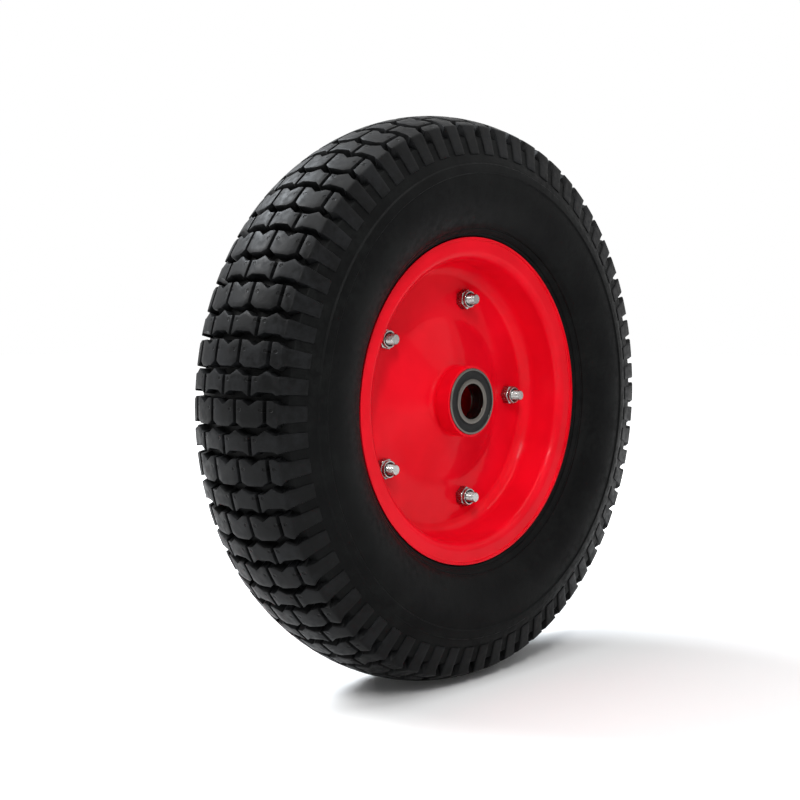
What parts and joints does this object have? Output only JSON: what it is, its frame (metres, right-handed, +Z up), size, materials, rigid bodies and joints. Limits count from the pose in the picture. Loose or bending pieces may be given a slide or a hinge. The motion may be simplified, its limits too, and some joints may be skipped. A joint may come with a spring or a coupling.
{
  "type": "wheelbarrow wheel",
  "caption": "Pneumatic barrow wheel with a black block-tread tyre and tube on a red bolted two-piece steel rim, turning on sealed ball bearings.",
  "frame": {"origin": "wheel centre, on the axle line in the plane where the two rim halves meet", "axes": "+Y along the axle towards the valve side (the nuts are on the -Y side), +Z up, +X to the right seen from the nut side; the tyre stands on its small ground flat at -Z"},
  "size_m": [0.402, 0.0992, 0.4008],
  "materials": {
    "tyre_rubber": "new black rubber, satin, with a faint grey bloom",
    "red_paint": "gloss powder coat on pressed steel",
    "tube_rubber": "dull black butyl rubber",
    "stem_rubber": "satin black rubber",
    "valve_brass": "plain turned brass",
    "cap_plastic": "moulded black plastic",
    "bearing_steel": "ground bright steel",
    "ball_steel": "polished steel",
    "cage_plastic": "moulded natural polyamide",
    "seal_rubber": "moulded black nitrile rubber",
    "zinc_steel": "bright zinc plate",
    "nylon": "dark nylon"
  },
  "bodies": {
    "axle_side": {"near_inner_ring": "bearing_steel", "far_inner_ring": "bearing_steel"},
    "wheel": {"tyre": "tyre_rubber", "near_rim_half": "red_paint", "far_rim_half": "red_paint", "inner_tube": "tube_rubber", "valve_stem": "stem_rubber", "valve_insert": "valve_brass", "valve_core": "valve_brass", "valve_cap": "cap_plastic", "near_outer_ring": "bearing_steel", "far_outer_ring": "bearing_steel", "near_outer_seal": "seal_rubber", "far_outer_seal": "seal_rubber", "near_inner_seal": "seal_rubber", "far_inner_seal": "seal_rubber", "rim_bolts": "zinc_steel", "head_washers": "zinc_steel", "lock_nuts": "zinc_steel", "nut_rings": "nylon"},
    "near_ball_set": {"near_cage": "cage_plastic", "near_balls": "ball_steel"},
    "far_ball_set": {"far_cage": "cage_plastic", "far_balls": "ball_steel"},
    "valve_plunger": {"valve_pin": "valve_brass"}
  },
  "joints": [
    {"name": "wheel_spin", "type": "hinge", "parent": "axle_side", "child": "wheel", "pos_m": [0, 0, 0], "axis": [0, 1, 0], "continuous": true},
    {"name": "near_cage_turn", "type": "hinge", "parent": "axle_side", "child": "near_ball_set", "pos_m": [0, -0.0255, 0], "axis": [0, 1, 0], "continuous": true},
    {"name": "far_cage_turn", "type": "hinge", "parent": "axle_side", "child": "far_ball_set", "pos_m": [0, 0.0255, 0], "axis": [0, 1, 0], "continuous": true},
    {"name": "valve_pin_push", "type": "slide", "parent": "wheel", "child": "valve_plunger", "axis": [-0.2801, -0.4226, -0.8619], "range_m": [0, 0.0012], "stiffness_N_per_m": 500, "springref_m": -0.0004}
  ],
  "couplings": [
    {"joint": "near_cage_turn", "follows": "wheel_spin", "ratio": 0.59167},
    {"joint": "far_cage_turn", "follows": "wheel_spin", "ratio": 0.59167}
  ]
}
